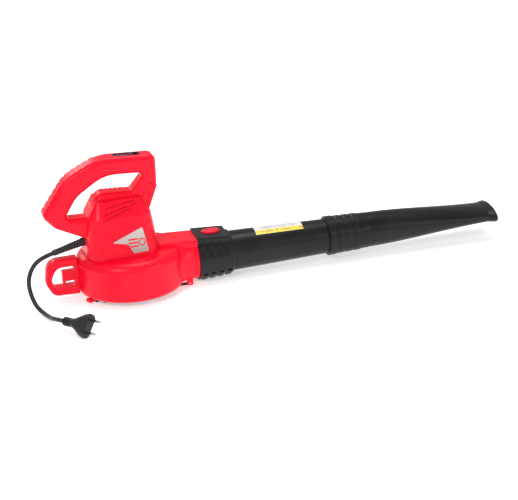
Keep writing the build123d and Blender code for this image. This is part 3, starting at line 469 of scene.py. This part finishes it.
def outward(piece: bpy.types.Object) -> None:
    """Merges doubles and turns every face of a closed piece outwards."""
    deselect()
    piece.select_set(True)
    bpy.context.view_layer.objects.active = piece
    bpy.ops.object.mode_set(mode="EDIT")
    bpy.ops.mesh.select_all(action="SELECT")
    bpy.ops.mesh.remove_doubles(threshold=MERGE_DISTANCE)
    bpy.ops.mesh.normals_make_consistent(inside=False)
    bpy.ops.object.mode_set(mode="OBJECT")


def turned(name: str, stations: Sequence[tuple[float, float]], sides: int = 48) -> bpy.types.Object:
    """A round piece raised ring by ring along +Z from a filled circle.

    Args:
        name: the piece's name.
        stations: (height, radius) of each ring, in metres, from the bottom up.
        sides: corners round it.

    Returns:
        The closed piece, at the origin.
    """
    deselect()
    low, first = stations[0]
    bpy.ops.mesh.primitive_circle_add(vertices=sides, radius=first, fill_type="NGON", location=(0, 0, 0))
    piece = bpy.context.object
    piece.name = name
    bpy.ops.object.mode_set(mode="EDIT")
    bpy.ops.mesh.select_all(action="SELECT")
    bpy.ops.transform.translate(value=(0, 0, low))
    for (z0, r0), (z1, r1) in zip(stations, stations[1:]):
        bpy.ops.mesh.extrude_region_move(TRANSFORM_OT_translate={"value": (0, 0, z1 - z0)})
        grow = r1 / r0
        bpy.ops.transform.resize(value=(grow, grow, 1.0), center_override=(0, 0, z1))
    bpy.ops.object.mode_set(mode="OBJECT")
    outward(piece)
    bpy.ops.object.shade_smooth_by_angle(angle=SMOOTH_ANGLE)
    return piece


def stand_along(piece: bpy.types.Object, foot: Point, ahead: Vector) -> bpy.types.Object:
    """Moves a piece made along +Z so that it stands on a point and runs a given way."""
    turn = ahead.to_track_quat("Z", "Y").to_matrix().to_4x4()
    piece.matrix_world = Matrix.Translation(Vector(foot)) @ turn
    return settle(piece)


# ---------------------------------------------------------------- sub-assemblies

@dataclass
class MotorHousing:
    """The two shells, their screws, the badge and the switch."""

    shells: Sequence[str] = ("left_housing_shell", "right_housing_shell")
    lean: float = math.radians(7.5)
    side: float = 45 * MM
    deck: float = 67 * MM
    badge_thickness: float = 0.8 * MM
    mark_relief: float = 0.35 * MM
    bars: Sequence[Point] = ((12.5, 26.5, 14.0), (12.5, 21.3, 14.0), (13.5, 16.1, 12.0))
    bar_height: float = 2.2 * MM
    bar_bevel: float = 0.1 * MM
    ring_place: tuple[float, float] = (25.5, 21.3)
    ring_radius: float = 4.6 * MM
    ring_thickness: float = 0.9 * MM
    sunk: float = 0.1 * MM

    def on_badge(self, piece: bpy.types.Object, x: float, height: float) -> None:
        """Lays a piece made on the XY plane onto the leaning badge.

        Args:
            piece: the piece, its face up along +Z.
            x: its place along the machine, in millimetres.
            height: its height above the deck along the plate, in millimetres.
        """
        along = Vector((1, 0, 0))
        rise = Vector((0, math.sin(self.lean), math.cos(self.lean)))
        out = along.cross(rise)
        foot = Vector((0, -self.side, self.deck)) + along * (x * MM) + rise * (height * MM)
        foot += out * (self.badge_thickness - self.sunk)
        turn = Matrix((along, rise, out)).transposed().to_4x4()
        piece.matrix_world = Matrix.Translation(foot) @ turn
        settle(piece)

    def bar(self, x: float, height: float, length: float) -> bpy.types.Object:
        """One raised bar of the mark, with a bevelled edge.

        Args:
            x: its middle along the machine, in millimetres.
            height: its height along the plate, in millimetres.
            length: its length in millimetres.

        Returns:
            The bar.
        """
        deselect()
        bpy.ops.mesh.primitive_cube_add(size=1.0, location=(0, 0, self.mark_relief / 2))
        piece = bpy.context.object
        piece.scale = (length * MM, self.bar_height, self.mark_relief)
        settle(piece)
        bpy.ops.object.mode_set(mode="EDIT")
        bpy.ops.mesh.select_all(action="SELECT")
        bpy.ops.mesh.bevel(offset=self.bar_bevel, segments=2)
        bpy.ops.object.mode_set(mode="OBJECT")
        self.on_badge(piece, x, height)
        return piece

    def ring(self) -> bpy.types.Object:
        """The mark's raised ring.

        Returns:
            The ring.
        """
        deselect()
        bpy.ops.mesh.primitive_torus_add(major_radius=self.ring_radius, minor_radius=self.ring_thickness,
                                         major_segments=48, minor_segments=12, location=(0, 0, 0))
        piece = bpy.context.object
        piece.scale = (1, 1, self.mark_relief / self.ring_thickness)
        settle(piece)
        bpy.ops.object.shade_smooth()
        self.on_badge(piece, *self.ring_place)
        return piece

    def mark(self) -> bpy.types.Object:
        """The badge's generic mark, three bars beside a ring, as one piece.

        Returns:
            The mark.
        """
        pieces = [self.bar(*bar) for bar in self.bars] + [self.ring()]
        deselect()
        for piece in pieces:
            piece.select_set(True)
        bpy.context.view_layer.objects.active = pieces[0]
        bpy.ops.object.join()
        mark = bpy.context.object
        mark.name = "badge_mark"
        outward(mark)
        dress(mark, Finish.RED_BUTTON.material())
        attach(mark, "body")
        return mark

    def build(self) -> None:
        """Dresses the housing and adds the badge's mark."""
        self.mark()
        dress_nodes(self.shells, Finish.RED_SHELL)
        dress_nodes(["housing_screws", "clamp_screws"], Finish.ZINC)
        dress_nodes(["switch_tray", "power_switch", "cord_clamp"], Finish.DARK_PART)
        dress_nodes(["power_slider"], Finish.GREY_SLIDER)
        dress_nodes(["badge_plate"], Finish.BADGE)
        dress_nodes(["suppression_capacitor"], Finish.CAPACITOR)


@dataclass
class MotorStack:
    """Everything on or round the motor shaft."""

    def build(self) -> None:
        """Dresses the motor, the fans and the cutter."""
        dress_nodes(["motor_shaft", "shaft_spacer", "blade_washer", "mulching_blade", "lower_bearing",
                     "upper_bearing", "hinge_pins"], Finish.STEEL)
        dress_nodes(["blade_nut", "motor_plate_screws", "cover_screws"], Finish.ZINC)
        dress_nodes(["motor_plate"], Finish.ALLOY)
        dress_nodes(["armature_core", "stator_core"], Finish.LAMINATION)
        dress_nodes(["armature_windings", "field_coils"], Finish.WINDING)
        dress_nodes(["commutator"], Finish.COMMUTATOR)
        dress_nodes(["brush_holders"], Finish.BRASS)
        dress_nodes(["carbon_brushes"], Finish.CARBON)
        dress_nodes(["brush_springs"], Finish.SPRING)
        dress_nodes(["motor_cooling_fan", "impeller"], Finish.DARK_PART)
        dress_nodes(["bearing_boot"], Finish.RUBBER)


@dataclass
class FanCasing:
    """The volute with its bottom cover, intake guard and latch."""

    def build(self) -> None:
        """Dresses the casing."""
        dress_nodes(["fan_casing", "outlet_spigot", "cord_loop", "guard_latch"], Finish.RED_SHELL)
        dress_nodes(["bottom_cover", "intake_guard"], Finish.DARK_PART)


@dataclass
class BlowTube:
    """The tube, its label, the release button and the nozzle."""

    axis_height: float = 0.037
    label_span: tuple[float, float] = (0.205, 0.280)
    label_half_angle: float = 34.0

    def build(self) -> None:
        """Dresses the tube and prints its label."""
        dress_nodes(["blow_tube_rear", "nozzle_tube"], Finish.BLACK_TUBE)
        dress_nodes(["lock_button"], Finish.RED_BUTTON)
        label = PrintedLabel("tube_label_print", self.axis_height, self.label_span, self.label_half_angle)
        dress(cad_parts["tube_label"], label.material())


@dataclass
class MainsLead:
    """The lead, its bend relief and its plug."""

    diameter: float = 6.5 * MM
    relief_length: float = 48 * MM
    root_radius: float = 6.2 * MM
    tip_radius: float = 4.4 * MM
    flange_radius: float = 8.6 * MM
    flange: tuple[float, float] = (-10.5 * MM, -8.0 * MM)
    groove_depth: float = 0.7 * MM
    rings: int = 9
    ring_pitch: float = 4.2 * MM
    route: Sequence[Point] = (
        (-101, 0, 74.5), (-119.9, 0, 69.8), (-135, -3.5, 57), (-142.5, -10.5, 40), (-141.5, -20.5, 22),
        (-136.5, -37, 8.5), (-127, -57.5, 3.6), (-122, -80, 6.3), (-118.5, -98.5, 11.9), (-108, -113.2, 13),
    )
    length: float = 0.1838

    def exit(self) -> Vector:
        """Where the lead leaves its bend relief."""
        return Vector(self.route[0]) * MM

    def ahead(self) -> Vector:
        """The direction in which it leaves."""
        return (Vector(self.route[1]) - Vector(self.route[0])).normalized()

    def lead(self) -> bpy.types.Object:
        """The lead as one smooth curve.

        Returns:
            The curve piece.
        """
        curve = bpy.data.curves.new("mains_lead", "CURVE")
        curve.dimensions = "3D"
        curve.bevel_depth = self.diameter / 2
        curve.bevel_resolution = 6
        curve.resolution_u = 24
        curve.use_fill_caps = True
        spline = curve.splines.new("NURBS")
        spline.points.add(len(self.route) - 1)
        for point, place in zip(spline.points, self.route):
            point.co = (*(Vector(place) * MM), 1.0)
        spline.order_u = 3
        spline.use_endpoint_u = True
        piece = bpy.data.objects.new("mains_lead", curve)
        bpy.context.scene.collection.objects.link(piece)
        piece.data.materials.append(Finish.LEAD.material())
        return piece

    def relief(self) -> bpy.types.Object:
        """The ribbed, tapered bend relief.

        Returns:
            The relief piece.
        """
        root_r, tip_r = self.root_radius, self.tip_radius
        low, high = self.flange
        step = 0.1 * MM
        stations = [(low, root_r), (low + step, self.flange_radius), (high - step, self.flange_radius),
                    (high, root_r), (0.0, root_r), (2.0 * MM, root_r)]
        for ring in range(self.rings):
            start = 4.0 * MM + ring * self.ring_pitch
            radius = root_r + (tip_r - root_r) * start / self.relief_length
            groove = radius - self.groove_depth
            stations += [(start, radius), (start + 0.5 * MM, groove),
                         (start + 1.5 * MM, groove), (start + 2.0 * MM, radius)]
        end = self.relief_length
        stations += [(end - 1.2 * MM, tip_r), (end - 0.3 * MM, tip_r - 0.4 * MM), (end, tip_r - 0.9 * MM)]
        piece = turned("cord_bend_relief", stations)
        foot = self.exit() - self.ahead() * self.relief_length
        stand_along(piece, tuple(foot), self.ahead())
        dress(piece, Finish.RUBBER.material())
        return piece

    def build(self) -> None:
        """Makes the lead and relief, and dresses the plug."""
        lead = self.lead()
        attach(lead, "body")
        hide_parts("mains_cord")
        relief = self.relief()
        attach(relief, "body")
        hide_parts("bend_relief")
        dress_nodes(["plug_body"], Finish.LEAD)
        dress_nodes(["plug_pins"], Finish.PIN_METAL)
        log.info("lead %.3f m long", self.length)


# ---------------------------------------------------------------- studio

@dataclass
class Studio:
    """The pale floor, the soft lights and the camera."""

    floor_size: float = 14.0
    floor_glow: float = 0.45
    sky_strength: float = 0.42
    aim: Point = (0.18, 0.0, 0.08)
    eye: Point = (-0.35413, -2.16904, 0.88750)
    right: Point = (0.96050, -0.27266, -0.05554)
    up: Point = (0.14758, 0.32994, 0.93239)
    lens: float = 109.29
    lights: Sequence[tuple[str, Point, float, float]] = field(default_factory=lambda: (
        ("key", (-1.1, -1.4, 1.5), 0.7, 18.0),
        ("top", (0.3, 0.3, 1.9), 0.9, 16.0),
        ("fill", (1.5, -1.4, 0.7), 0.9, 9.0),
        ("rim", (-0.6, 1.7, 1.2), 0.8, 12.0),
    ))

    def floor(self) -> None:
        """A wide, flat, pale floor, lit a little from within so that it stays near white."""
        deselect()
        bpy.ops.mesh.primitive_plane_add(size=self.floor_size, location=(0, 0, 0))
        floor = bpy.context.object
        floor.name = "studio_floor"
        sketch = NodeSketch("studio_floor")
        speckle = sketch.noise(6.0, 2.0)
        tint = sketch.mix(speckle, (0.90, 0.90, 0.90), (0.93, 0.93, 0.93))
        sketch.feed(sketch.shader, "Base Color", tint)
        sketch.shader.inputs["Roughness"].default_value = 0.75
        sketch.shader.inputs["Emission Color"].default_value = (1, 1, 1, 1)
        sketch.shader.inputs["Emission Strength"].default_value = self.floor_glow
        dress(floor, sketch.material)

    def light(self, name: str, place: Point, size: float, power: float) -> None:
        """One soft square light that faces the machine.

        Args:
            name: its name.
            place: where it hangs.
            size: its side in metres.
            power: its power in watts.
        """
        data = bpy.data.lights.new(name, "AREA")
        data.size = size
        data.energy = power
        lamp = bpy.data.objects.new(name, data)
        lamp.location = place
        lamp.rotation_mode = "QUATERNION"
        aim = Vector(self.aim) - Vector(place)
        lamp.rotation_quaternion = aim.to_track_quat("-Z", "Y")
        bpy.context.scene.collection.objects.link(lamp)

    def camera(self) -> None:
        """The camera, at the machine's three-quarter view."""
        data = bpy.data.cameras.new("camera")
        data.lens = self.lens
        data.sensor_width = 36.0
        data.clip_start, data.clip_end = 0.05, 60.0
        camera = bpy.data.objects.new("camera", data)
        right, up = Vector(self.right).normalized(), Vector(self.up).normalized()
        back = right.cross(up)
        turn = Matrix((right, up, back)).transposed().to_4x4()
        camera.matrix_world = Matrix.Translation(Vector(self.eye)) @ turn
        bpy.context.scene.collection.objects.link(camera)
        bpy.context.scene.camera = camera

    def build(self) -> None:
        """Sets the floor, the lights, the sky and the camera."""
        self.floor()
        for lamp in self.lights:
            self.light(*lamp)
        world = bpy.data.worlds.new("studio")
        world.use_nodes = True
        sky = world.node_tree.nodes["Background"]
        sky.inputs["Color"].default_value = (1.0, 1.0, 1.0, 1.0)
        sky.inputs["Strength"].default_value = self.sky_strength
        bpy.context.scene.world = world
        bpy.context.scene.view_settings.view_transform = "Standard"
        self.camera()


def main() -> None:
    """Builds the machine's sub-assemblies and the studio, in order."""
    logging.basicConfig(level=logging.INFO, format="%(name)s: %(message)s")
    for assembly in (MotorHousing(), MotorStack(), FanCasing(), BlowTube(), MainsLead(), Studio()):
        assembly.build()
        log.info("built %s", type(assembly).__name__)


if __name__ == "__main__":
    main()
